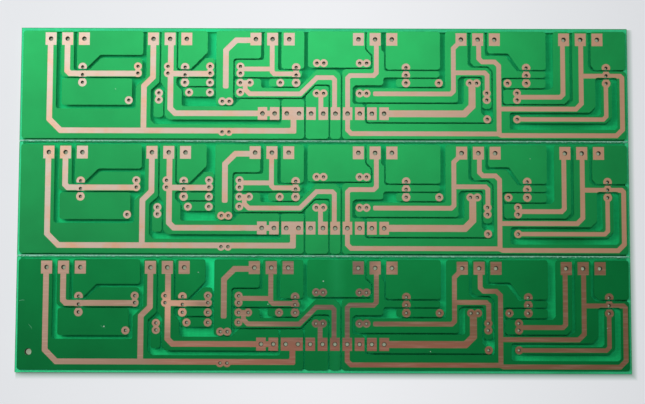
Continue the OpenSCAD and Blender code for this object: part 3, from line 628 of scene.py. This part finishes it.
def hole_circles():
    """The centre and the radius of each hole, from the laminate's upright faces that hang together."""
    made = laminate_mesh()
    join_corners(made)
    left = {face for face in made.faces if abs(face.normal.z) < UPRIGHT and not on_outline(face)}
    found = []
    while left:
        wall, reached = [], [left.pop()]
        while reached:
            face = reached.pop()
            wall.append(face)
            near = {other for edge in face.edges for other in edge.link_faces} & left
            left -= near
            reached.extend(near)
        points = [corner.co for face in wall for corner in face.verts]
        low = Vector([min(point[i] for point in points) for i in range(2)])
        high = Vector([max(point[i] for point in points) for i in range(2)])
        found.append(((low + high) / 2, (high.x - low.x) / 2))
    made.free()
    return sorted(found, key=lambda hole: (round(hole[0].x, 5), round(hole[0].y, 5)))


def ring(made, centre, inner, outer, low, high):
    """Adds a flat closed ring to a bmesh."""
    turns = [2 * math.pi * i / RING_SIDES for i in range(RING_SIDES)]
    circles = []
    for reach, z in ((outer, low), (outer, high), (inner, high), (inner, low)):
        places = [(centre.x + reach * math.cos(t), centre.y + reach * math.sin(t), z) for t in turns]
        circles.append([made.verts.new(place) for place in places])
    for one, other in zip(circles, circles[1:] + circles[:1]):
        for i in range(RING_SIDES):
            j = (i + 1) % RING_SIDES
            made.faces.new((one[i], one[j], other[j], other[i]))


def make_hole_rims():
    """A dark ring low in each hole, painted shade, and a dark burr round each lead hole above, which is
    also painted shade at the hole's edge.
    """
    exits, burrs = bmesh.new(), bmesh.new()
    low = PANEL_LOW.z + EXIT_SHADE_HEIGHT
    for centre, radius in hole_circles():
        ring(exits, centre, radius - EXIT_SHADE_WIDTH, radius, low, low + EXIT_SHADE_HEIGHT)
        if radius < LEAD_HOLE_RADIUS:
            ring(burrs, centre, radius, radius + BURR_WIDTH, COPPER_TOP, COPPER_TOP + BURR_HEIGHT)
    for name, made, colour, slot in (
        ("hole_exit_shade_rings", exits, BARREL_PAINTED_SHADE, "laminate"),
        ("burr_and_shade_rings", burrs, BURR_AND_SHADE_BROWN, "copper"),
    ):
        bmesh.ops.recalc_face_normals(made, faces=made.faces[:])
        material = matt_material(name, colour, darker(BARREL_PAINTED_SHADE, RING_SHADE), RING_GRAIN)
        add_piece(name, to_mesh(made, name), material)


# ---- Dust and scratches ----
WEAR_SINK = FILM_THICKNESS * 0.3
SPECK_HEIGHT = 0.02 * MM
SPECK_CORNERS = 7
SPECK_SEED = 5
SCRATCH_HEIGHT = 0.006 * MM
SCRATCH_SHADE = 0.6
# How far past its end points a scratch would taper to nothing, in steps from point to point
TAPER_PAST_END = 0.6
WEAR_GRAIN = 0.5 * MM
# Each speck's place on its board, the board and the speck's size, in millimetres
SPECKS = (
    (99, 7.9, 3, 0.4), (81.2, 15.4, 3, 0.35), (133.4, 30.4, 3, 0.35), (190.3, 22.8, 3, 0.35),
    (58.7, 5.2, 3, 0.3), (28.5, 22.6, 3, 0.4), (166, 5.4, 2, 0.3), (31, 20.2, 1, 0.25),
)
# Each scratch's board, its width and the points of its path there, in millimetres
SCRATCHES = (
    (3, 0.16, ((1, 14.5), (1.6, 14.3), (2.2, 14.2), (2.8, 14.3))),
    (3, 0.12, ((4.2, 22), (4.7, 22.5), (5.1, 23), (5.3, 23.6))),
    (3, 0.1, ((27.2, 22.2), (27.8, 22.7), (28.4, 23), (29, 23.2))),
    (2, 0.08, ((72, 28.8), (74, 29.1), (76.5, 29.2), (78.5, 29))),
)


def speck(made, place, size, rng):
    """One flat grain of dust or lifted mask."""
    outline = []
    for i in range(SPECK_CORNERS):
        angle = 2 * math.pi * i / SPECK_CORNERS
        radius = size / 2 * rng.uniform(0.6, 1.0)
        outline.append((place.x + radius * math.cos(angle), place.y + radius * math.sin(angle)))
    thin_plate(made, outline, MASK_HIGH.z - WEAR_SINK, MASK_HIGH.z + SPECK_HEIGHT)


def scratch(made, points, width):
    """A thin scratch that tapers at both ends, along points on the mask."""
    left, right = [], []
    steps = len(points) - 1 + 2 * TAPER_PAST_END
    for i, point in enumerate(points):
        ahead = (points[min(i + 1, len(points) - 1)] - points[max(i - 1, 0)]).normalized()
        taper = width / 2 * math.sin(math.pi * (i + TAPER_PAST_END) / steps)
        side = Vector((-ahead.y, ahead.x, 0)) * taper
        left.append((point + side).xy[:])
        right.append((point - side).xy[:])
    thin_plate(made, right + left[::-1], MASK_HIGH.z - WEAR_SINK, MASK_HIGH.z + SCRATCH_HEIGHT)


def make_wear():
    """Dust and scratches, most of them on the last board."""
    dust = matt_material("pale_dust", DUST_WHITE, DUST_GREY, WEAR_GRAIN)
    rng = random.Random(SPECK_SEED)
    made = bmesh.new()
    for x, y, board, size in SPECKS:
        speck(made, board_point(x, y, board), size * MM, rng)
    add_piece("dust_specks", to_mesh(made, "dust_specks"), dust)

    made = bmesh.new()
    for board, width, path in SCRATCHES:
        scratch(made, [board_point(x, y, board) for x, y in path], width * MM)
    faint = matt_material("scratched_mask", SCRATCH_GREEN, darker(SCRATCH_GREEN, SCRATCH_SHADE), WEAR_GRAIN)
    add_piece("light_scratches", to_mesh(made, "light_scratches"), faint)


# ---- Stage, light and camera ----
FLOOR_DROP = 0.05 * MM
FLOOR_REACH = 20
# Each lamp's place, radius and power
LAMPS = {
    "window": (Vector((-0.31, 0.18, 0.245)), 0.16, 6.3),
    "ceiling": (Vector((-0.037, 0.345, 1.15)), 0.1, 10.4),
}
WORLD_STRENGTH = 0.19
CAMERA_PLACE = Vector((0.00123, -0.04583, 0.48877))
CAMERA_TURN = [math.radians(angle) for angle in (5.2614, 0.1699, 0.174)]
CAMERA_LENS = 84.3
CAMERA_NEAR = 0.01


def make_floor():
    made = bmesh.new()
    bmesh.ops.create_grid(made, x_segments=2, y_segments=2, size=FLOOR_REACH)
    floor = bpy.data.objects.new("floor", to_mesh(made, "floor"))
    floor.location.z = PANEL_LOW.z - FLOOR_DROP
    bpy.context.scene.collection.objects.link(floor)
    paint(floor, floor_material())


def make_lamps():
    for name, (place, radius, power) in LAMPS.items():
        lamp = bpy.data.lights.new(name, "POINT")
        lamp.shadow_soft_size = radius
        lamp.energy = power
        holder = bpy.data.objects.new(name, lamp)
        holder.location = place
        bpy.context.scene.collection.objects.link(holder)


def make_world():
    world = bpy.data.worlds.new("studio")
    bpy.context.scene.world = world
    world.use_nodes = True
    light = world.node_tree.nodes["Background"]
    light.inputs["Color"].default_value = (*WORLD_COLOUR, 1)
    light.inputs["Strength"].default_value = WORLD_STRENGTH


def make_camera():
    lens = bpy.data.cameras.new("camera")
    lens.lens = CAMERA_LENS
    lens.clip_start = CAMERA_NEAR
    camera = bpy.data.objects.new("camera", lens)
    camera.location = CAMERA_PLACE
    camera.rotation_euler = Euler(CAMERA_TURN)
    bpy.context.scene.collection.objects.link(camera)
    bpy.context.scene.camera = camera


bpy.context.scene.view_settings.view_transform = "Standard"
dress_frame()
make_laminate_inside()
make_laminate_rim()
make_torn_edges()
make_hole_rims()
make_wear()
make_floor()
make_lamps()
make_world()
make_camera()
